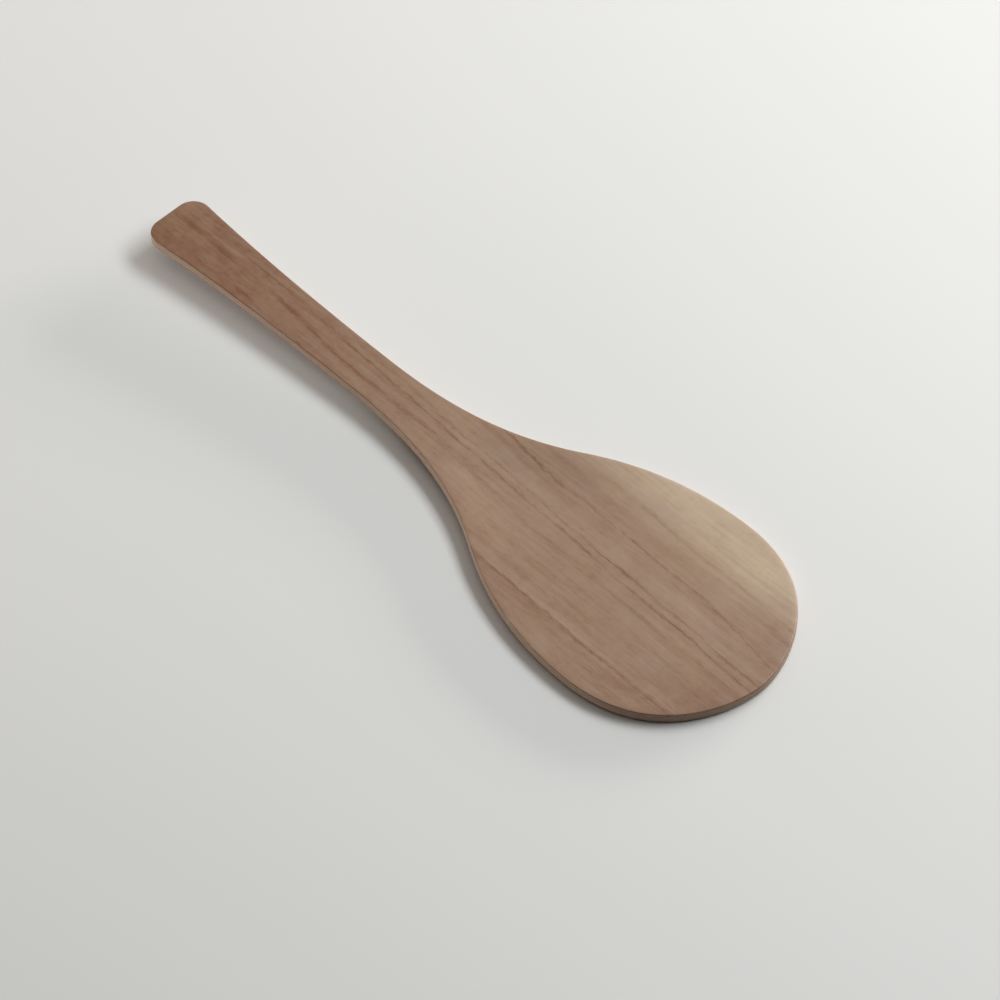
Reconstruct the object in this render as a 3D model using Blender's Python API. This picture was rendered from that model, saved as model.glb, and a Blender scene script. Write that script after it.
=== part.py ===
"""Risotto spoon pressed from five sheets of walnut veneer.

The spoon is one thin sheet: a long handle that widens a little at its end, a
slim waist and a broad egg-shaped blade. The sheet is a stack of five veneers
glued in a mould. The two outer veneers and the middle one run along the
handle, and the two crossbands between them run across it. The mould lifts the
handle by a few millimetres and keeps the blade all but flat: towards the
handle its rim rises first, round a very shallow hollow whose underside is part
of the flat sole that the spoon rests on.

The origin is under the middle of the length, on the table. +X points to the
nose of the blade and +Z is up. Sizes are in metres. The outline is worked out
from the handle's end, so a distance along the spoon starts there.
"""

import math

import bmesh
import bpy
import numpy as np
from mathutils import Vector
from mathutils.geometry import interpolate_bezier

# Outline of the sheet
LENGTH = 0.2800
BLADE_WIDTH = 0.0864
NOSE_TO_WIDEST = 0.0464
SHOULDER_WIDTH = 0.0541
NOSE_TO_SHOULDER = 0.1050
SHOULDER_ANGLE = math.radians(31.3)
WAIST_WIDTH = 0.0178
END_TO_WAIST = 0.0996
END_WIDTH = 0.0243
END_TAPER = math.radians(4.7)
CORNER_RADIUS = 0.0067

# How far the nose curve runs on straight from the widest point and from the
# tip before it bends, as shares of the way to the nose and to the axis
NOSE_SIDE_FULLNESS = 0.80
NOSE_TIP_FULLNESS = 0.265

# Veneers and the glue between them
OUTER_VENEER = 0.00060
INNER_VENEER = 0.00075
GLUE_LINE = 0.00020
RIM_RADIUS = 0.0010

# Shape of the mould
NOSE_TO_BEND = 0.0300
BEND_RADIUS = 3.00
HANDLE_SLOPE = math.radians(1.60)
NOSE_TO_HANDLE_ROOT = 0.1400
NOSE_TO_SOLE_END = 0.1040
SOLE_SHARE = 0.17

# Fineness of the surfaces
CORNER_STEPS = 5
HANDLE_STEPS = 8
NECK_STEPS = 13
BLADE_STEPS = 11
NOSE_STEPS = 8
ACROSS_STEPS = 12
RIM_STEPS = 3
NOSE_ROW_ANGLE = math.radians(45)
FINE_STEPS = 40
SHARP_EDGE = math.radians(35)

# Walnut, oiled: along the grain it is paler than on the ends of the crossbands
FACE_COLOUR = (0.272, 0.171, 0.115)
BACK_COLOUR = (0.235, 0.140, 0.088)
CORE_COLOUR = (0.260, 0.163, 0.105)
CROSSBAND_COLOUR = (0.155, 0.084, 0.049)
ROUGHNESS = 0.5

# Name, thickness, rings of the rim and colour of each veneer, bottom to top
VENEERS = (
    ("back_veneer", OUTER_VENEER, RIM_STEPS, BACK_COLOUR),
    ("lower_crossband", INNER_VENEER, 1, CROSSBAND_COLOUR),
    ("core_veneer", INNER_VENEER, 1, CORE_COLOUR),
    ("upper_crossband", INNER_VENEER, 1, CROSSBAND_COLOUR),
    ("face_veneer", OUTER_VENEER, RIM_STEPS, FACE_COLOUR),
)
STACK_HEIGHT = sum(veneer[1] for veneer in VENEERS) + (len(VENEERS) - 1) * GLUE_LINE


def clear_scene():
    for obj in list(bpy.data.objects):
        bpy.data.objects.remove(obj, do_unlink=True)


def ease(share):
    """Rise from 0 to 1 that starts and ends level."""
    t = np.clip(share, 0.0, 1.0)
    return t * t * (3.0 - 2.0 * t)


def stretch(start, start_pull, end_pull, end, steps):
    """Points of one curved stretch of the outline, without its last point."""
    knots = [Vector((*point, 0.0)) for point in (start, start_pull, end_pull, end)]
    points = interpolate_bezier(*knots, steps + 1)
    return [(point.x, point.y) for point in points[:-1]]


def side_stretch(start, start_slope, end, end_slope, steps):
    """A stretch of the side whose pulls lie a third of the way along it."""
    third = (end[0] - start[0]) / 3.0
    start_pull = (start[0] + third, start[1] + third * start_slope)
    end_pull = (end[0] - third, end[1] - third * end_slope)
    return stretch(start, start_pull, end_pull, end, steps)


def half_outline():
    """One side of the outline, from the end of the handle to the tip of the nose.

    Its five stretches, each a list of points, run round the corner of the
    handle, in to the waist, out to the shoulder, on to the widest point of the
    blade, and round the nose.
    """
    radius = min(CORNER_RADIUS, END_WIDTH / 2.0)
    corner_centre = (radius, END_WIDTH / 2.0 - radius)
    turn = math.pi / 2.0 + END_TAPER
    corner = []
    for step in range(FINE_STEPS):
        angle = turn * step / FINE_STEPS
        corner.append((corner_centre[0] - radius * math.cos(angle),
                       corner_centre[1] + radius * math.sin(angle)))
    side_start = (corner_centre[0] + radius * math.sin(END_TAPER),
                  corner_centre[1] + radius * math.cos(END_TAPER))
    waist = (END_TO_WAIST, WAIST_WIDTH / 2.0)
    shoulder = (LENGTH - NOSE_TO_SHOULDER, SHOULDER_WIDTH / 2.0)
    widest = (LENGTH - NOSE_TO_WIDEST, BLADE_WIDTH / 2.0)
    tip = (LENGTH, 0.0)
    side_pull = (widest[0] + NOSE_SIDE_FULLNESS * NOSE_TO_WIDEST, widest[1])
    tip_pull = (LENGTH, NOSE_TIP_FULLNESS * widest[1])
    rise = math.tan(SHOULDER_ANGLE)
    return [
        corner,
        side_stretch(side_start, -math.tan(END_TAPER), waist, 0.0, FINE_STEPS),
        side_stretch(waist, 0.0, shoulder, rise, FINE_STEPS),
        side_stretch(shoulder, rise, widest, 0.0, FINE_STEPS),
        stretch(widest, side_pull, tip_pull, tip, FINE_STEPS) + [tip],
    ]


def rows_of_outline(stretches):
    """Outline as fine points with outward normals, and the index of each row.

    Each stretch is divided evenly into its own number of rows. The last row is
    where the nose curve has turned by NOSE_ROW_ANGLE, so the rest of the nose
    is the end of the sheet.
    """
    points = np.concatenate([np.array(stretch_points) for stretch_points in stretches])
    tangents = np.gradient(points, axis=0)
    tangents /= np.linalg.norm(tangents, axis=1)[:, None]
    normals = np.stack([-tangents[:, 1], tangents[:, 0]], axis=1)
    starts = np.cumsum([0] + [len(stretch_points) for stretch_points in stretches[:-1]])
    nose = tangents[starts[-1]:]
    nose_turn = np.arctan2(-nose[:, 1], nose[:, 0])
    last_row = starts[-1] + np.interp(NOSE_ROW_ANGLE, nose_turn, np.arange(len(nose_turn)))
    ends = [*starts, last_row]
    steps = (CORNER_STEPS, HANDLE_STEPS, NECK_STEPS, BLADE_STEPS, NOSE_STEPS)
    rows = [0.0]
    for start, end, count in zip(ends[:-1], ends[1:], steps):
        rows.extend(np.linspace(start, end, count + 1)[1:])
    return points, normals, np.array(rows)


def rim_lift(x):
    """Height of the rim over the table: level round the nose, bent up, then straight."""
    raised = np.clip(LENGTH - NOSE_TO_BEND - x, 0.0, None)
    bent = np.minimum(raised, BEND_RADIUS * math.tan(HANDLE_SLOPE))
    return bent * bent / (2.0 * BEND_RADIUS) + (raised - bent) * math.tan(HANDLE_SLOPE)


def mould_height(x, y, outline):
    """Height of the mould's face: the rim's lift, sunk to the table inside the blade.

    The sole is flat over the middle of the blade, SOLE_SHARE of its width, and
    rises to the rim on both sides and to the handle at its root.
    """
    half_width = np.interp(x, outline[:, 0], outline[:, 1])
    across = np.divide(np.abs(y), half_width, out=np.zeros_like(y), where=half_width > 0.0)
    side = ease((across - SOLE_SHARE) / (1.0 - SOLE_SHARE))
    along = (x - (LENGTH - NOSE_TO_HANDLE_ROOT)) / (NOSE_TO_HANDLE_ROOT - NOSE_TO_SOLE_END)
    return rim_lift(x) * (1.0 - ease(along) * (1.0 - side))


def rim_inset(level):
    """How far the rounded rim lies inside the outline at a level of the stack."""
    depth = min(level, STACK_HEIGHT - level)
    below_round = max(RIM_RADIUS - depth, 0.0)
    return RIM_RADIUS - math.sqrt(RIM_RADIUS ** 2 - below_round ** 2)


def sheet_points(places, level, outline, normals, rows):
    """Points of the sheet at one level of the stack.

    A place holds the share of the way along the rows and across, each from -1
    to 1. Rows are straight over the handle. In the blade they bow out more and
    more, until the last row is the curve of the nose itself.
    """
    inset_line = outline - rim_inset(level) * normals
    row = (places[:, 0] + 1.0) / 2.0 * (len(rows) - 1)
    station = np.interp(row, np.arange(len(rows)), rows)
    index = np.arange(len(outline))
    side_x = np.interp(station, index, inset_line[:, 0])
    side_y = np.interp(station, index, inset_line[:, 1])
    last_x = np.interp(rows[-1], index, inset_line[:, 0])
    last_y = np.interp(rows[-1], index, inset_line[:, 1])
    nose = inset_line[math.ceil(rows[-1]):][::-1]
    nose_y = np.append(nose[:, 1], last_y)
    nose_x = np.append(nose[:, 0], last_x)
    first_bowed = CORNER_STEPS + HANDLE_STEPS + NECK_STEPS
    bow = np.clip((row - first_bowed) / (len(rows) - 1 - first_bowed), 0.0, 1.0) ** 2
    across = places[:, 1]
    x = side_x + bow * (np.interp(np.abs(across) * last_y, nose_y, nose_x) - last_x)
    y = across * side_y
    return np.stack([x, y, mould_height(x, y, outline) + level], axis=1)


def levels_of(base, thickness, rings):
    """Levels of a veneer's faces and of the rings between them on a rounded rim."""
    if rings == 1:
        return [base, base + thickness]
    turn = math.acos(1.0 - min(thickness / RIM_RADIUS, 1.0))
    drops = [1.0 - math.cos(turn * ring / rings) for ring in range(rings + 1)]
    shares = [drop / drops[-1] for drop in drops]
    if base < STACK_HEIGHT / 2.0:
        return [base + thickness * share for share in shares]
    return [base + thickness * (1.0 - share) for share in reversed(shares)]


def walnut(name, colour):
    material = bpy.data.materials.new(name + "_walnut")
    material.use_nodes = True
    shader = material.node_tree.nodes["Principled BSDF"]
    shader.inputs["Base Color"].default_value = (*colour, 1.0)
    shader.inputs["Roughness"].default_value = ROUGHNESS
    shader.inputs["Metallic"].default_value = 0.0
    material.diffuse_color = (*colour, 1.0)
    return material


def add_veneer(name, base, thickness, rings, colour, shape, collection):
    """One veneer: a grid laid in the mould, raised ring by ring to its upper face."""
    outline, normals, rows = shape
    sheet = bmesh.new()
    bmesh.ops.create_grid(sheet, x_segments=len(rows) - 1, y_segments=ACROSS_STEPS, size=1.0)
    place = sheet.verts.layers.float_vector.new("place")
    for vert in sheet.verts:
        vert[place] = vert.co
    cap = sheet.faces[:]
    for number, level in enumerate(levels_of(base, thickness, rings)):
        if number:
            raised = bmesh.ops.extrude_face_region(sheet, geom=cap)["geom"]
            if number > 1:
                bmesh.ops.delete(sheet, geom=cap, context="FACES")
            cap = [item for item in raised if isinstance(item, bmesh.types.BMFace)]
        verts = list({vert for face in cap for vert in face.verts})
        places = np.array([vert[place] for vert in verts])
        points = sheet_points(places, level, outline, normals, rows)
        points -= (LENGTH / 2.0, 0.0, base)
        for vert, point in zip(verts, points):
            vert.co = point
    bmesh.ops.recalc_face_normals(sheet, faces=sheet.faces)
    sheet.verts.layers.float_vector.remove(place)
    mesh = bpy.data.meshes.new(name)
    sheet.to_mesh(mesh)
    sheet.free()
    mesh.shade_smooth()
    mesh.set_sharp_from_angle(angle=SHARP_EDGE)
    mesh.materials.append(walnut(name, colour))
    veneer = bpy.data.objects.new(name, mesh)
    veneer.location.z = base
    collection.objects.link(veneer)


def build_spoon():
    clear_scene()
    collection = bpy.data.collections.new("risotto_spoon")
    bpy.context.scene.collection.children.link(collection)
    shape = rows_of_outline(half_outline())
    base = 0.0
    for name, thickness, rings, colour in VENEERS:
        add_veneer(name, base, thickness, rings, colour, shape, collection)
        base += thickness + GLUE_LINE


build_spoon()
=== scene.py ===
"""Risotto spoon pressed from five walnut veneers: its surfaces, wood and light.

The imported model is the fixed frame: +X points to the nose of the blade, +Z is
up, and the origin is on the table under the middle of the length. Every veneer
of the frame is replaced by a finer one of the same outline, pressed into the
same mould, with the hair-thin joints of a real glued stack. Lengths are in
metres, and the wood's pattern is written in millimetres.
"""

import math

import bmesh
import bpy
import numpy as np
from mathutils import Matrix, Vector


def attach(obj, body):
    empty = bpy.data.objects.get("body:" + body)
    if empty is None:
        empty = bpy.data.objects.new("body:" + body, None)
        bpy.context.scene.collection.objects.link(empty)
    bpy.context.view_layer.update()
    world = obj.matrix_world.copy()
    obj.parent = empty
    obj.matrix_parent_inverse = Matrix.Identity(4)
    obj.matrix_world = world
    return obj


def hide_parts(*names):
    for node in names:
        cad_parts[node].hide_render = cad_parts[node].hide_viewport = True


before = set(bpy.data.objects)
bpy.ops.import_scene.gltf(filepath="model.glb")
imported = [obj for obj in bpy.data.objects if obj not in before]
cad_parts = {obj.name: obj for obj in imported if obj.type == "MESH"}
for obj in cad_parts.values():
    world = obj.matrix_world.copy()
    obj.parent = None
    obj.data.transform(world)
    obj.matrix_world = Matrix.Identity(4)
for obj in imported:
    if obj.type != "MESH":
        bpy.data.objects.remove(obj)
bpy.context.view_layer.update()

# Outline of the spoon, measured from the end of the handle
LENGTH = 0.2800
BLADE_WIDTH = 0.0864
NOSE_TO_WIDEST = 0.0464
SHOULDER_WIDTH = 0.0541
NOSE_TO_SHOULDER = 0.1050
SHOULDER_ANGLE = math.radians(31.3)
WAIST_WIDTH = 0.0178
END_TO_WAIST = 0.0996
END_WIDTH = 0.0243
END_TAPER = math.radians(4.7)
CORNER_RADIUS = 0.0067
NOSE_SIDE_FULLNESS = 0.80
NOSE_TIP_FULLNESS = 0.265

# The pressed stack and the mould's shape
STACK_HEIGHT = 0.00423
OUTER_VENEER = 0.00070
JOINT = 0.00002
TOP_RADIUS = 0.0006
UNDER_RADIUS = 0.0014
NOSE_TO_BEND = 0.0300
BEND_RADIUS = 3.00
HANDLE_SLOPE = math.radians(1.60)
NOSE_TO_HANDLE_ROOT = 0.1400
NOSE_TO_SOLE_END = 0.1040
SOLE_SHARE = 0.17

# Fineness of the surfaces, and millimetres in a metre
HALF_RIM_POINTS = 420
OUTLINE_STEPS = 400
SHOWN_FACE_RINGS = 26
GLUED_FACE_RINGS = 8
ROUNDED_RINGS = 10
SAME_POINT = 1e-7
SHARP_EDGE = math.radians(40)
MILLIMETRES = 1000.0

# Camera of the photograph: elevation over the table, and turn from +X to its right
CAMERA_ELEVATION = math.radians(52.07)
CAMERA_TURN = math.radians(44.49)
CAMERA_DISTANCE = 1.1579
CAMERA_TARGET = (0.02632, -0.00404, 0.0)
FOCAL_PIXELS = 3502.0
PHOTO_PIXELS = 1000.0
SENSOR_WIDTH = 36.0
NEAREST_SEEN = 0.01

# Pale table under the spoon
TABLE_SIZE = 8.0
TABLE_DROP = 0.00002
TABLE_COLOUR = (0.760, 0.760, 0.753, 1.0)
TABLE_ROUGHNESS = 0.8
TABLE_SHEEN = 0.2

# Studio beyond the panels: where it takes over from the table, and the share that lights the spoon
FAR_START = 0.32
FAR_END = 0.60
FAR_COLOUR = (0.750, 0.750, 0.738, 1.0)
SKY_LIGHT = 0.03


def bezier(start, start_pull, end_pull, end, steps):
    """Cubic curve without its last point.

    A point at share t is (1-t)^3 start + 3 (1-t)^2 t start_pull
    + 3 (1-t) t^2 end_pull + t^3 end.
    """
    t = np.linspace(0.0, 1.0, steps, endpoint=False)[:, None]
    start, start_pull, end_pull, end = map(np.array, (start, start_pull, end_pull, end))
    return ((1 - t) ** 3 * start + 3 * (1 - t) ** 2 * t * start_pull
            + 3 * (1 - t) * t ** 2 * end_pull + t ** 3 * end)


def side_curve(start, start_slope, end, end_slope):
    """A cubic curve whose pulls lie a third of the way along, on its end slopes."""
    third = (end[0] - start[0]) / 3.0
    start_pull = (start[0] + third, start[1] + third * start_slope)
    end_pull = (end[0] - third, end[1] - third * end_slope)
    return bezier(start, start_pull, end_pull, end, OUTLINE_STEPS)


def half_outline():
    """Points of one side at even distances, from the handle's end to the tip of the nose.

    Straight across half the end, round its corner as an arc, in to the waist,
    out to the shoulder and to the widest point as cubic curves, and round the
    nose as a last one.
    """
    centre = (CORNER_RADIUS, END_WIDTH / 2.0 - CORNER_RADIUS)
    angle = np.linspace(0.0, math.pi / 2.0 + END_TAPER, OUTLINE_STEPS)
    corner = np.stack([centre[0] - CORNER_RADIUS * np.cos(angle),
                       centre[1] + CORNER_RADIUS * np.sin(angle)], axis=1)
    waist = (END_TO_WAIST, WAIST_WIDTH / 2.0)
    shoulder = (LENGTH - NOSE_TO_SHOULDER, SHOULDER_WIDTH / 2.0)
    widest = (LENGTH - NOSE_TO_WIDEST, BLADE_WIDTH / 2.0)
    tip = (LENGTH, 0.0)
    side_pull = (widest[0] + NOSE_SIDE_FULLNESS * NOSE_TO_WIDEST, widest[1])
    tip_pull = (LENGTH, NOSE_TIP_FULLNESS * widest[1])
    rise = math.tan(SHOULDER_ANGLE)
    points = np.concatenate([
        [(0.0, 0.0)],
        corner[:-1],
        side_curve(corner[-1], -math.tan(END_TAPER), waist, 0.0),
        side_curve(waist, 0.0, shoulder, rise),
        side_curve(shoulder, rise, widest, 0.0),
        bezier(widest, side_pull, tip_pull, tip, OUTLINE_STEPS),
        [tip],
    ])
    way = np.append(0.0, np.cumsum(np.linalg.norm(np.diff(points, axis=0), axis=1)))
    even = np.linspace(0.0, way[-1], HALF_RIM_POINTS)
    return np.stack([np.interp(even, way, points[:, axis]) for axis in (0, 1)], axis=1)


def whole_outline(half):
    """The closed outline, one side and then its mirror image, and its outward normals.

    A normal is the tangent turned a quarter to the left, and a tangent joins
    the points before and after.
    """
    other = half[-2:0:-1] * (1.0, -1.0)
    points = np.concatenate([half, other])
    tangents = np.roll(points, -1, axis=0) - np.roll(points, 1, axis=0)
    tangents /= np.linalg.norm(tangents, axis=1)[:, None]
    return points, np.stack([-tangents[:, 1], tangents[:, 0]], axis=1)


def ease(share):
    """3 t^2 - 2 t^3: rises from 0 to 1 and starts and ends level."""
    t = np.clip(share, 0.0, 1.0)
    return t * t * (3.0 - 2.0 * t)


def rim_lift(x):
    """Height of the rim over the table: level, then a parabola, then a straight slope.

    raised is the distance from the start of the bend and bent the part of it
    inside the bend: bent^2 / (2 radius) + (raised - bent) slope.
    """
    raised = np.clip(LENGTH - NOSE_TO_BEND - x, 0.0, None)
    bent = np.minimum(raised, BEND_RADIUS * math.tan(HANDLE_SLOPE))
    return bent * bent / (2.0 * BEND_RADIUS) + (raised - bent) * math.tan(HANDLE_SLOPE)


def mould_height(x, y, half):
    """Height of the mould: the rim's lift, eased down to the table inside the blade.

    lift (1 - ease(along) (1 - ease(side))): along goes from 0 at the handle's
    root to 1 where the sole begins, and side from 0 at the sole to 1 at the rim.
    """
    half_width = np.interp(x, half[:, 0], half[:, 1])
    across = np.divide(np.abs(y), half_width, out=np.zeros_like(y), where=half_width > 0.0)
    side = (across - SOLE_SHARE) / (1.0 - SOLE_SHARE)
    along = (x - (LENGTH - NOSE_TO_HANDLE_ROOT)) / (NOSE_TO_HANDLE_ROOT - NOSE_TO_SOLE_END)
    return rim_lift(x) * (1.0 - ease(along) * (1.0 - ease(side)))


def rounding(depth, radius):
    """Inset of a quarter circle at some depth under its flat: r - root(r^2 - (r - depth)^2)."""
    left = np.clip(radius - depth, 0.0, radius)
    return radius - np.sqrt(radius ** 2 - left ** 2)


def rim_inset(level):
    """How far the rim lies inside the outline, by its small upper and larger lower rounding."""
    return rounding(STACK_HEIGHT - level, TOP_RADIUS) + rounding(level, UNDER_RADIUS)


def rim_levels(low, high):
    """Levels of the rings on a veneer's edge, closer together where the rim is rounded."""
    rise = 1.0 - np.cos(np.linspace(0.0, math.pi / 2.0, ROUNDED_RINGS))
    levels = np.concatenate([UNDER_RADIUS * rise, STACK_HEIGHT - TOP_RADIUS * rise])
    inside = np.sort(levels[(levels > low + JOINT) & (levels < high - JOINT)])
    return np.concatenate([[low], inside, [high]])


def veneer_mesh(name, low, high, low_rings, high_rings, half):
    """A veneer as a closed surface of two parameters, u round the outline and v along a section.

    v runs from the middle line out over the lower face, up the edge and back
    over the upper face. A point is middle + share (rim - middle), where middle
    is the nearest point of the long axis, share goes from 0 to 1 and back, and
    the rim is the outline drawn in by rim_inset. Its height is the mould's
    plus the level of that ring in the stack.
    """
    outline, normals = whole_outline(half)
    edge = rim_levels(low, high)
    share = np.concatenate([np.linspace(0.0, 1.0, low_rings, endpoint=False),
                            np.ones(len(edge)),
                            np.linspace(1.0, 0.0, high_rings + 1)[1:]])
    level = np.concatenate([np.full(low_rings, low), edge, np.full(high_rings, high)])
    rim = outline[None] - rim_inset(level)[:, None, None] * normals[None]
    end_fan = END_WIDTH / 2.0
    nose_fan = LENGTH - NOSE_TO_WIDEST
    middle = np.stack([np.clip(rim[..., 0], end_fan, nose_fan), np.zeros(rim.shape[:2])], axis=2)
    flat = middle + share[:, None, None] * (rim - middle)
    x, y = flat[..., 0], flat[..., 1]
    z = mould_height(x, y, half) + level[:, None]
    points = np.stack([x - LENGTH / 2.0, y, z], axis=2).reshape(-1, 3)
    rings, around = rim.shape[:2]
    ring = np.arange(rings - 1)[:, None] * around
    place = np.arange(around)[None, :]
    following = (place + 1) % around
    corners = [ring + place, ring + following, ring + around + following, ring + around + place]
    quads = np.stack([np.broadcast_to(corner, (rings - 1, around)) for corner in corners], axis=2)
    mesh = bpy.data.meshes.new(name)
    mesh.from_pydata(points.tolist(), [], quads.reshape(-1, 4).tolist())
    close_seams(mesh)
    return mesh


def close_seams(mesh):
    """Merge the points that meet on the middle line, and turn every face outwards."""
    sheet = bmesh.new()
    sheet.from_mesh(mesh)
    bmesh.ops.remove_doubles(sheet, verts=sheet.verts, dist=SAME_POINT)
    bmesh.ops.dissolve_degenerate(sheet, edges=sheet.edges, dist=SAME_POINT)
    bmesh.ops.recalc_face_normals(sheet, faces=sheet.faces)
    sheet.to_mesh(mesh)
    sheet.free()
    mesh.shade_smooth()
    mesh.set_sharp_from_angle(angle=SHARP_EDGE)


class Field:
    """A number, colour or vector that varies over a surface: one output of a material's nodes.

    Python's operators on it add Math nodes, so sums and products of fields and
    numbers are written as one expression.
    """

    def __init__(self, tree, socket):
        self.tree = tree
        self.socket = socket

    def node(self, kind, settings, sockets, output=0):
        """Add a node: first its settings or ramp stops, then its sockets' values or links."""
        added = self.tree.nodes.new(kind)
        for name, value in settings.items():
            if name == "stops":
                self.set_stops(added.color_ramp, value)
            else:
                setattr(added, name, value)
        for key, value in sockets.items():
            if isinstance(value, Field):
                self.tree.links.new(value.socket, added.inputs[key])
            else:
                added.inputs[key].default_value = value
        return Field(self.tree, added.outputs[output])

    @staticmethod
    def set_stops(ramp, stops):
        """Give a ramp its stops, each a place from 0 to 1 with a grey or a colour."""
        while len(ramp.elements) < len(stops):
            ramp.elements.new(1.0)
        for element, (place, value) in zip(ramp.elements, stops):
            element.position = place
            colour = value if isinstance(value, tuple) else (value, value, value)
            element.color = (*colour, 1.0)

    def maths(self, operation, first, second=0.0):
        """A Math node on one or two fields or numbers."""
        return self.node("ShaderNodeMath", {"operation": operation}, {0: first, 1: second})

    def __add__(self, other):
        return self.maths("ADD", self, other)

    def __radd__(self, other):
        return self.maths("ADD", other, self)

    def __sub__(self, other):
        return self.maths("SUBTRACT", self, other)

    def __rsub__(self, other):
        return self.maths("SUBTRACT", other, self)

    def __mul__(self, other):
        return self.maths("MULTIPLY", self, other)

    def __rmul__(self, other):
        return self.maths("MULTIPLY", other, self)

    def __neg__(self):
        return self.maths("MULTIPLY", self, -1.0)

    def root(self):
        """The square root."""
        return self.maths("SQRT", self)

    def bell(self, centre, width):
        """exp(-((value - centre) / width)^2): 1 on the centre, all but gone two widths away."""
        away = (self - centre) * (1.0 / width)
        return self.maths("EXPONENT", -(away * away))

    def rise(self, start, end):
        """0 before start, 1 after end, and a smooth step between them."""
        return self.node("ShaderNodeMapRange", {"interpolation_type": "SMOOTHSTEP"},
                         {"Value": self, "From Min": start, "From Max": end})

    def ramp(self, low, high, stops, curve="LINEAR"):
        """A ramp whose stops are given in the field's own units, from low to high."""
        share = (self - low) * (1.0 / (high - low))
        places = [((place - low) / (high - low), value) for place, value in stops]
        added = share.node("ShaderNodeValToRGB", {"stops": places}, {0: share})
        added.socket.node.color_ramp.interpolation = curve
        return added

    def between(self, first, second):
        """The mix of two colours, the first where the field is 0 and the second where it is 1."""
        return self.node("ShaderNodeMix", {"data_type": "RGBA"}, {0: self, 6: first, 7: second}, 2)

    def parts(self):
        """The three parts of a vector."""
        first = self.node("ShaderNodeSeparateXYZ", {}, {0: self})
        outputs = first.socket.node.outputs
        return [Field(self.tree, output) for output in outputs]

    def noise(self, sizes, seed, detail):
        """Noise from -1 to 1 about 0, whose patches have the given sizes on the three axes."""
        scaled = self.node("ShaderNodeVectorMath", {"operation": "MULTIPLY"},
                           {0: self, 1: tuple(1.0 / size for size in sizes)})
        moved = self.node("ShaderNodeVectorMath", {"operation": "ADD"},
                          {0: scaled, 1: (seed, seed, seed)})
        value = self.node("ShaderNodeTexNoise", {},
                          {"Vector": moved, "Scale": 1.0, "Detail": detail})
        return value * 2.0 - 1.0


# Walnut's colours from its darkest late wood to its palest, for tones from 0 to 1
WALNUT_COLOURS = (
    (0.00, (0.060, 0.026, 0.013)),
    (0.27, (0.210, 0.089, 0.039)),
    (0.50, (0.328, 0.203, 0.131)),
    (0.75, (0.434, 0.306, 0.209)),
    (1.00, (0.578, 0.444, 0.316)),
)
# The sanded edge is greyer than the oiled face
EDGE_COLOURS = (
    (0.00, (0.120, 0.072, 0.047)),
    (0.50, (0.315, 0.207, 0.141)),
    (1.00, (0.480, 0.352, 0.255)),
)
# Painted shade: the dark line on the rounded edges, where they turn away from the light
PAINTED_ARRIS_SHADE = (0.132, 0.066, 0.037, 1.0)

# Dark lines of late wood: half width, then places (along, across, depth of tone)
LATE_LINES = (
    # Far one of the double line through the blade
    (0.42, ((-30, 5.2, 0.00), (-12, 4.4, 0.07), (0, 3.9, 0.12), (36, 2.7, 0.11), (63, 0.9, 0.12),
            (74, 0.6, 0.17), (81, 0.4, 0.20), (90, 0.0, 0.13), (108, -1.0, 0.12),
            (136, -2.5, 0.10))),
    # Near one of the double line, from the handle to the nose
    (0.45, ((-108, 6.0, 0.00), (-97, 5.8, 0.10), (-90, 5.6, 0.12), (-80, 5.0, 0.05),
            (-57, 3.8, 0.10), (-30, 2.5, 0.10), (0, 1.2, 0.12), (30, -0.1, 0.10),
            (54, -1.2, 0.11), (72, -2.6, 0.12), (90, -3.1, 0.12), (108, -3.8, 0.18),
            (116, -4.3, 0.18), (124, -4.8, 0.11), (136, -5.6, 0.10))),
    # Soft streak down the middle of the handle
    (0.70, ((-94, 1.2, 0.00), (-88, 0.8, 0.07), (-74, -0.6, 0.11), (-62, -2.1, 0.12),
            (-48, -2.8, 0.12), (-34, -3.0, 0.07), (-8, -3.1, 0.10), (8, -3.8, 0.00))),
    # Line on the far side of the blade
    (0.50, ((4, 15.4, 0.00), (14, 14.7, 0.14), (36, 12.6, 0.14), (50, 12.5, 0.08),
            (63, 11.9, 0.13), (92, 10.9, 0.12), (110, 10.4, 0.12), (124, 7.8, 0.08),
            (136, 5.6, 0.08))),
    # Line inside the pale side, which is sapwood and painted sheen
    (0.65, ((30, 25.0, 0.00), (44, 24.4, 0.05), (66, 24.0, 0.13), (84, 23.0, 0.14),
            (110, 22.3, 0.10), (132, 21.0, 0.10))),
    # Line on the near side of the blade
    (0.40, ((20, -26.3, 0.00), (47, -27.7, 0.08), (81, -29.2, 0.11), (110, -30.1, 0.08),
            (125, -31.0, 0.07))),
    # Faint wide line between the double line and the near side
    (0.90, ((-10, -4.8, 0.00), (10, -5.0, 0.05), (50, -7.4, 0.06), (100, -8.7, 0.06),
            (136, -9.4, 0.05))),
    # Two marks near the end of the handle
    (0.90, ((-139, 2.2, 0.02), (-134, 2.1, 0.12), (-126, 2.0, 0.14), (-122, 2.0, 0.05),
            (-118, 2.0, 0.11), (-112, 1.9, 0.10), (-106, 1.8, 0.00))),
    (0.80, ((-100, -6.4, 0.00), (-96, -6.6, 0.12), (-93, -6.6, 0.08), (-88, -6.5, 0.00))),
)
LINES_REACH = 140.0
LINES_SPAN = 40.0

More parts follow.
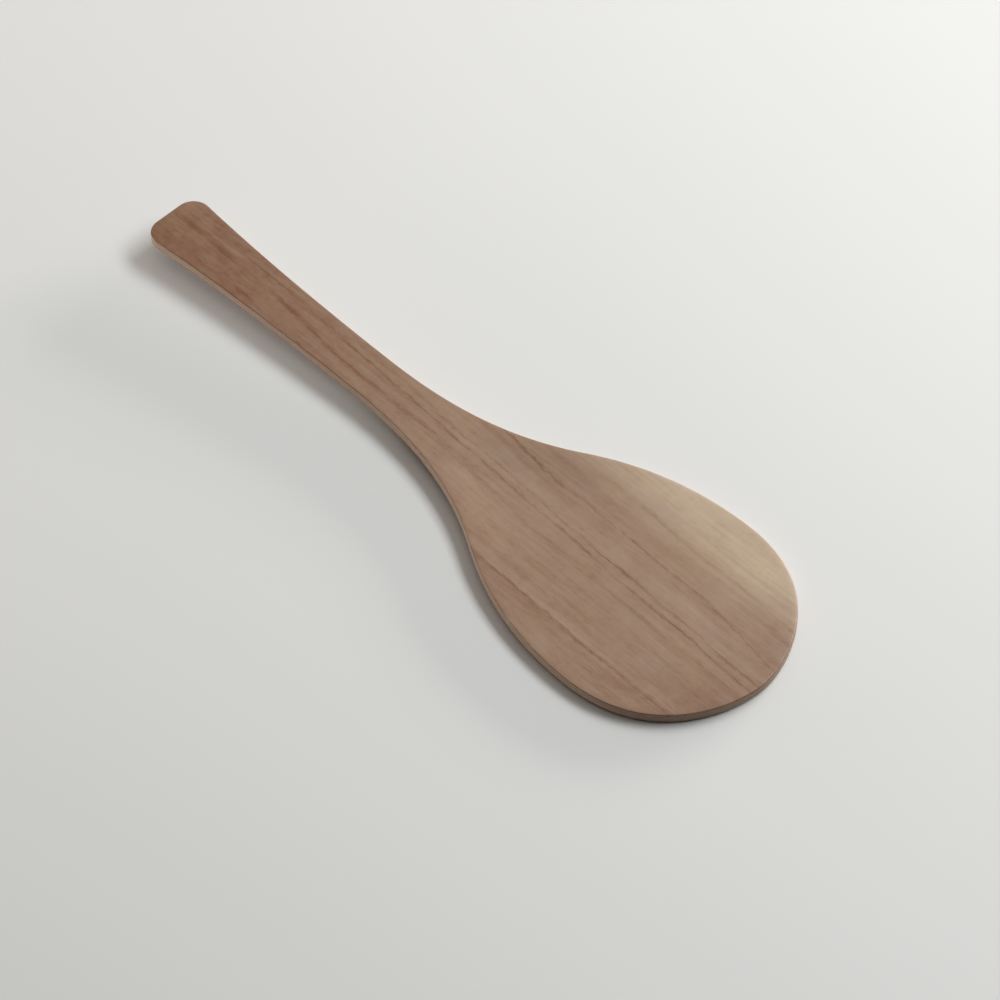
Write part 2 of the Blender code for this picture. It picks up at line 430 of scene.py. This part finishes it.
# Broad bands of the figure: distance from the middle and tone
BANDS = (
    (-38.0, 0.55), (-33.0, 0.47), (-29.5, 0.48), (-25.6, 0.44), (-24.9, 0.52), (-24.2, 0.56),
    (-21.0, 0.475), (-17.8, 0.51), (-13.0, 0.465), (-8.3, 0.545), (-5.3, 0.475), (-2.2, 0.54),
    (0.0, 0.50), (4.8, 0.54), (9.8, 0.54), (12.6, 0.465), (15.4, 0.51), (18.8, 0.47),
    (21.8, 0.44), (25.0, 0.50), (28.5, 0.53), (31.2, 0.575), (34.0, 0.55), (37.8, 0.60),
    (43.0, 0.57),
)
BAND_REACH = 45.0
BAND_MIDDLE = 0.5

# Slope of the grain on the handle and in the blade, and where and how gently it turns
HANDLE_GRAIN_SLOPE = 0.055
BLADE_GRAIN_SLOPE = 0.020
GRAIN_TURN_PLACE = 55.0
GRAIN_TURN_RADIUS = 15.0

# Tone of the face, what its parts take from it or add, and where each part fades in.
# The darker handle and the pale side are partly the wood's tone and partly painted sheen
FACE_TONE = 0.52
# The handle is darker partly by its wood and partly by painted sheen, which the blade has and the
# handle lacks
HANDLE_DARKER_WOOD_AND_SHEEN = 0.175
HANDLE_FADE = (-125.0, 30.0)
# Pale side: sapwood, lightened further by a painted sheen
SAPWOOD_AND_SHEEN_PALER = 0.28
SAPWOOD_AND_SHEEN_SIDE = (7.0, 41.0)
SAPWOOD_AND_SHEEN_START = (0.0, 80.0)
NOSE_DARKER = 0.10
NOSE_FADE = (112.0, 142.0)
NEAR_SIDE_DARKER = 0.020
NEAR_SIDE_FADE = (-14.0, -28.0)
BACK_DARKER = 0.06

# Noise of the wood: sizes of its patches along, across and down, then its seed and detail
LONG_WAVES = ((18.0, 8.0, 8.0), 3.1, 1.0)
SHORT_JAGS = ((2.4, 1.0, 1.0), 7.7, 3.0)
LINE_STRENGTH = ((7.0, 1.4, 1.4), 11.3, 2.0)
BAND_STRENGTH = ((35.0, 6.0, 6.0), 5.9, 1.0)
BACK_CLOUDS = ((60.0, 9.0, 9.0), 15.7, 1.0)
MOTTLE = ((3.0, 1.1, 1.1), 51.0, 3.0)
STREAKS = ((30.0, 1.6, 1.6), 61.0, 3.0)
PATCHES = ((9.0, 4.0, 9.0), 13.1, 2.0)
RIPPLE = ((2.6, 7.0, 7.0), 41.0, 1.0)
LONG_PORES = ((5.0, 0.30, 0.30), 27.9, 1.0)
FLECKS = ((3.4, 0.8, 0.8), 71.0, 1.0)
CHANGE_OF_HUE = ((26.0, 4.5, 4.5), 33.0, 3.0)

# Fibres and pores, which run along a veneer's own grain
FIBRE_LENGTH = 28.0
FIBRE_WIDTH = 0.30
FIBRE_SEED = 1.7
FIBRE_DETAIL = 3.0
PORE_LENGTH = 2.6
PORE_SEED = 21.3
PORE_DETAIL = 1.0
GRAIN_DEPTH = 0.00004
GRAIN_STRENGTH = 0.6

# Squared upward part of the normal: where the wall gives way to a face, and on the arris, where a
# dark line of painted shade lies
WALL_FADE = (0.05, 0.45)
ARRIS_SHADE_MIDDLE = 0.58
ARRIS_SHADE_WIDTH = 0.30


def grain_place(along, across):
    """Distance across the grain, whose lines drift to the near side towards the nose.

    The drift is steep on the handle and slight in the blade, with a hyperbola
    between: across + steep x - (steep - slight) / 2 (d + root(d^2 + radius^2)),
    where d is the distance past the turn.
    """
    past = along - GRAIN_TURN_PLACE
    bent = past + (past * past + GRAIN_TURN_RADIUS ** 2).root()
    half_change = (HANDLE_GRAIN_SLOPE - BLADE_GRAIN_SLOPE) / 2.0
    return across + along * HANDLE_GRAIN_SLOPE - bent * half_change


def grain_waves(place):
    """Long soft waves and short jags of the grain, in millimetres across it."""
    return place.noise(*LONG_WAVES) * 0.9 + place.noise(*SHORT_JAGS) * 1.1


def late_wood(place, along, across):
    """Depth of tone of the drawn lines.

    Each is exp(-((across - course) / half width)^2) times its depth, and both
    its course and its depth follow a smooth curve through its places.
    """
    strength = place.noise(*LINE_STRENGTH) * 1.1 + 1.1
    total = 0.0
    for half_width, places in LATE_LINES:
        stops = [(x, (y / LINES_SPAN / 2.0 + 0.5, depth, 0.0)) for x, y, depth in places]
        course, depth, _ = along.ramp(-LINES_REACH, LINES_REACH, stops, "CARDINAL").parts()
        away = across - (course - 0.5) * (2.0 * LINES_SPAN)
        total = away.bell(0.0, half_width) * depth * strength + total
    return total


def face_figure(place, along, across):
    """Tone of the face: broad bands, drawn lines, the darker handle and the pale side, both partly
    painted sheen.
    """
    waves = grain_waves(place)
    ring = grain_place(along, across) + waves
    tone = ring.ramp(-BAND_REACH, BAND_REACH, BANDS, "B_SPLINE") - BAND_MIDDLE
    tone = tone * (place.noise(*BAND_STRENGTH) * 1.2 + 1.3)
    tone = tone - late_wood(place, along, across + waves)
    # Painted sheen in part: the handle is darker than the blade, besides its own darker wood
    handle = 1.0 - along.rise(*HANDLE_FADE)
    # Painted sheen in part: the pale side is sapwood with a sheen painted into its colour
    sapwood_and_sheen = ring.rise(*SAPWOOD_AND_SHEEN_SIDE) * along.rise(*SAPWOOD_AND_SHEEN_START)
    nose = along.rise(*NOSE_FADE)
    near_side = across.rise(*NEAR_SIDE_FADE)
    tone = tone + FACE_TONE - handle * HANDLE_DARKER_WOOD_AND_SHEEN + sapwood_and_sheen * SAPWOOD_AND_SHEEN_PALER
    return tone - nose * NOSE_DARKER - near_side * NEAR_SIDE_DARKER


def back_figure(place, along, across):
    """Tone of the back: the same broad bands, narrower, moved aside and without drawn lines."""
    ring = grain_place(along, across) + grain_waves(place) * 1.5
    broad = (ring * 0.9 + 6.0).ramp(-BAND_REACH, BAND_REACH, BANDS, "B_SPLINE")
    return broad - BACK_DARKER + place.noise(*BACK_CLOUDS) * 0.12


def edge_look(fibres, pores, mottle, cut_end, shade):
    """Colour and roughness of the sanded edge, which is darker where it cuts across the fibres."""
    tone = fibres * 0.30 + mottle * 0.15 - pores * 0.10 - cut_end * 0.12
    colour = (tone + (0.5 + shade)).ramp(0.0, 1.0, EDGE_COLOURS)
    return colour, 0.62 + pores * 0.10 + fibres * 0.10


def oiled_look(place, fibres, pores, mottle, figure):
    """Colour and roughness of an oiled face: its figure, the finer marks and a slow change of hue."""
    along, across, _ = place.parts()
    streaks = place.noise(*STREAKS)
    patches = place.noise(*PATCHES)
    ripple = place.noise(*RIPPLE)
    long_pores = place.noise(*LONG_PORES).rise(0.30, 0.56)
    flecks = place.noise(*FLECKS).rise(0.42, 0.66)
    tone = figure(place, along, across) + fibres * 0.050 + streaks * 0.13 + mottle * 0.100
    tone = tone + patches * 0.09 + ripple * 0.035
    tone = tone - pores * 0.09 - long_pores * 0.13 - flecks * 0.10
    colour = tone.ramp(0.0, 1.0, WALNUT_COLOURS)
    hue = place.noise(*CHANGE_OF_HUE)
    tint = hue.node("ShaderNodeCombineXYZ", {}, {0: 1.0, 1: 1.0 + hue * 0.012, 2: 1.0 - hue * 0.13})
    tinted = colour.node("ShaderNodeVectorMath", {"operation": "MULTIPLY"}, {0: colour, 1: tint})
    return tinted, 0.48 + pores * 0.14 + long_pores * 0.14 + patches * 0.04


def walnut(name, fibre_size, shade, figure=None):
    """Walnut veneer oiled to a satin finish.

    fibre_size gives the way its fibres run, shade moves its edge's tone, and
    figure is the function that draws its face, where the face shows.
    """
    material = bpy.data.materials.new(name)
    material.use_nodes = True
    tree = material.node_tree
    shader = tree.nodes["Principled BSDF"]
    coordinates = tree.nodes.new("ShaderNodeTexCoord")
    metres = Field(tree, coordinates.outputs["Object"])
    place = metres.node("ShaderNodeVectorMath", {"operation": "SCALE"},
                        {0: metres, "Scale": MILLIMETRES})
    lengthwise, _, facing = Field(tree, coordinates.outputs["Normal"]).parts()
    level = facing * facing
    along_spoon = fibre_size[0] > fibre_size[1]
    cut_end = lengthwise * lengthwise if along_spoon else 1.0 - lengthwise * lengthwise
    longest = max(fibre_size)
    pore_size = tuple(PORE_LENGTH if size == longest else size / 2.0 for size in fibre_size)
    fibres = place.noise(fibre_size, FIBRE_SEED, FIBRE_DETAIL)
    pores = place.noise(pore_size, PORE_SEED, PORE_DETAIL).rise(0.22, 0.50)
    mottle = place.noise(*MOTTLE)
    colour, roughness = edge_look(fibres, pores, mottle, cut_end, shade)
    if figure:
        wall = 1.0 - level.rise(*WALL_FADE)
        oiled, satin = oiled_look(place, fibres, pores, mottle, figure)
        colour = wall.between(oiled, colour)
        roughness = satin + wall * (roughness - satin)
    # Painted shade: a mottled dark line along the rounded top and bottom edges, placed by the tilt of
    # the normal
    arris_shade = level.bell(ARRIS_SHADE_MIDDLE, ARRIS_SHADE_WIDTH) * (mottle * 0.8 + 0.85)
    colour = arris_shade.between(colour, PAINTED_ARRIS_SHADE)
    height = fibres * 0.19 + mottle * 0.05 - pores * 0.8
    bumped = height.node("ShaderNodeBump", {}, {"Strength": GRAIN_STRENGTH, "Distance": GRAIN_DEPTH,
                                                "Height": height})
    tree.links.new(colour.socket, shader.inputs["Base Color"])
    tree.links.new(roughness.socket, shader.inputs["Roughness"])
    tree.links.new(bumped.socket, shader.inputs["Normal"])
    return material


def add_veneer(node, low, high, low_rings, high_rings, half, material):
    """A fine veneer in place of the frame's node of that name."""
    mesh = veneer_mesh("fine_" + node, low, high, low_rings, high_rings, half)
    mesh.materials.append(material)
    veneer = bpy.data.objects.new("fine_" + node, mesh)
    bpy.context.scene.collection.objects.link(veneer)
    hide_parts(node)
    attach(veneer, "root")


def build_spoon():
    """The five veneers from the table up, each with its bottom and top level in the stack."""
    half = half_outline()
    glue = np.linspace(OUTER_VENEER, STACK_HEIGHT - OUTER_VENEER, 4)
    bottoms = np.concatenate([[0.0], glue + JOINT / 2.0])
    tops = np.concatenate([glue - JOINT / 2.0, [STACK_HEIGHT]])
    along_grain = (FIBRE_LENGTH, FIBRE_WIDTH, FIBRE_WIDTH)
    across_grain = (FIBRE_WIDTH, FIBRE_LENGTH, FIBRE_WIDTH)
    woods = {
        "face_walnut": walnut("face_walnut", along_grain, 0.0, face_figure),
        "crossband_walnut": walnut("crossband_walnut", across_grain, -0.03),
        "core_walnut": walnut("core_walnut", along_grain, 0.02),
        "back_walnut": walnut("back_walnut", along_grain, 0.0, back_figure),
    }
    veneers = (("back_veneer", "back_walnut"), ("lower_crossband", "crossband_walnut"),
               ("core_veneer", "core_walnut"), ("upper_crossband", "crossband_walnut"),
               ("face_veneer", "face_walnut"))
    for (node, slot), low, high in zip(veneers, bottoms, tops):
        low_rings = SHOWN_FACE_RINGS if node == "back_veneer" else GLUED_FACE_RINGS
        high_rings = SHOWN_FACE_RINGS if node == "face_veneer" else GLUED_FACE_RINGS
        add_veneer(node, low, high, low_rings, high_rings, half, woods[slot])


def add_floor():
    """The pale table, a hair under the sole."""
    bpy.ops.mesh.primitive_plane_add(size=TABLE_SIZE, location=(0.0, 0.0, -TABLE_DROP))
    floor = bpy.context.object
    floor.name = "floor"
    material = bpy.data.materials.new("pale_table")
    material.use_nodes = True
    shader = material.node_tree.nodes["Principled BSDF"]
    shader.inputs["Base Color"].default_value = TABLE_COLOUR
    shader.inputs["Roughness"].default_value = TABLE_ROUGHNESS
    shader.inputs["Specular IOR Level"].default_value = TABLE_SHEEN
    add_far_floor(material, shader)
    floor.data.materials.append(material)


def add_far_floor(material, shader):
    """Keep the floor pale where the panels no longer reach it, for the eye alone."""
    tree = material.node_tree
    place = Field(tree, tree.nodes.new("ShaderNodeTexCoord").outputs["Object"])
    seen = Field(tree, tree.nodes.new("ShaderNodeLightPath").outputs["Is Camera Ray"])
    distance = place.node("ShaderNodeVectorMath", {"operation": "LENGTH"}, {0: place}, 1)
    far = distance.rise(FAR_START, FAR_END) * seen
    glow = far.node("ShaderNodeEmission", {}, {"Color": FAR_COLOUR, "Strength": 1.0})
    near = Field(tree, shader.outputs[0])
    mixed = far.node("ShaderNodeMixShader", {}, {0: far, 1: near, 2: glow})
    tree.links.new(mixed.socket, tree.nodes["Material Output"].inputs["Surface"])


def camera_directions():
    """The camera's right, up and forward directions as unit vectors."""
    right = Vector((math.cos(CAMERA_TURN), math.sin(CAMERA_TURN), 0.0))
    ahead = Vector((-math.sin(CAMERA_TURN), math.cos(CAMERA_TURN), 0.0))
    forward = ahead * math.cos(CAMERA_ELEVATION) - Vector((0.0, 0.0, math.sin(CAMERA_ELEVATION)))
    return right, right.cross(forward), forward


def add_camera():
    """The photograph's camera, aimed at its target from its distance."""
    right, up, forward = camera_directions()
    data = bpy.data.cameras.new("camera")
    data.sensor_width = SENSOR_WIDTH
    data.lens = FOCAL_PIXELS / PHOTO_PIXELS * SENSOR_WIDTH
    data.clip_start = NEAREST_SEEN
    camera = bpy.data.objects.new("camera", data)
    place = Vector(CAMERA_TARGET) - forward * CAMERA_DISTANCE
    turn = Matrix((right, up, -forward)).transposed().to_4x4()
    camera.matrix_world = Matrix.Translation(place) @ turn
    bpy.context.scene.collection.objects.link(camera)
    bpy.context.scene.camera = camera


def add_panel(name, turn, elevation, distance, width, height, irradiance, colour):
    """A soft panel that faces the spoon.

    turn is its direction from the camera's right towards the back and elevation
    its height over the horizon. irradiance is what it gives a surface that
    faces it at the spoon, as a share of pi: power = irradiance pi^2 distance^2,
    since a panel of power P gives P / (pi distance^2) straight ahead.
    """
    azimuth = CAMERA_TURN + math.radians(turn)
    height_angle = math.radians(elevation)
    direction = Vector((math.cos(azimuth) * math.cos(height_angle),
                        math.sin(azimuth) * math.cos(height_angle),
                        math.sin(height_angle)))
    data = bpy.data.lights.new(name, "AREA")
    data.shape = "RECTANGLE"
    data.size = width
    data.size_y = height
    data.energy = irradiance * math.pi ** 2 * distance ** 2
    data.color = colour
    lamp = bpy.data.objects.new(name, data)
    lamp.visible_camera = False
    lamp.location = direction * distance
    lamp.rotation_euler = direction.to_track_quat("Z", "Y").to_euler()
    bpy.context.scene.collection.objects.link(lamp)


def add_world():
    """A world that is pale to the eye and gives the spoon only a trace of light."""
    world = bpy.data.worlds.new("studio")
    world.use_nodes = True
    tree = world.node_tree
    seen = Field(tree, tree.nodes.new("ShaderNodeLightPath").outputs["Is Camera Ray"])
    background = tree.nodes["Background"]
    background.inputs["Color"].default_value = FAR_COLOUR
    strength = seen * (1.0 - SKY_LIGHT) + SKY_LIGHT
    tree.links.new(strength.socket, background.inputs["Strength"])
    bpy.context.scene.world = world


def add_lights():
    """The studio and four panels: right, behind, low behind and a small card low on the left."""
    add_world()
    add_panel("key_panel", turn=25.0, elevation=44.0, distance=1.72, width=1.48, height=0.55,
              irradiance=0.775, colour=(0.96, 1.01, 1.03))
    add_panel("rear_panel", turn=67.0, elevation=51.0, distance=0.42, width=1.48, height=1.30,
              irradiance=1.62, colour=(1.07, 1.00, 0.92))
    add_panel("back_strip", turn=40.0, elevation=8.0, distance=2.50, width=1.60, height=0.26,
              irradiance=0.92, colour=(1.05, 0.99, 0.95))
    add_panel("left_card", turn=174.0, elevation=2.4, distance=0.60, width=0.50, height=0.045,
              irradiance=0.75, colour=(1.03, 1.00, 0.95))


build_spoon()
add_floor()
add_lights()
add_camera()
bpy.context.scene.view_settings.view_transform = "Standard"
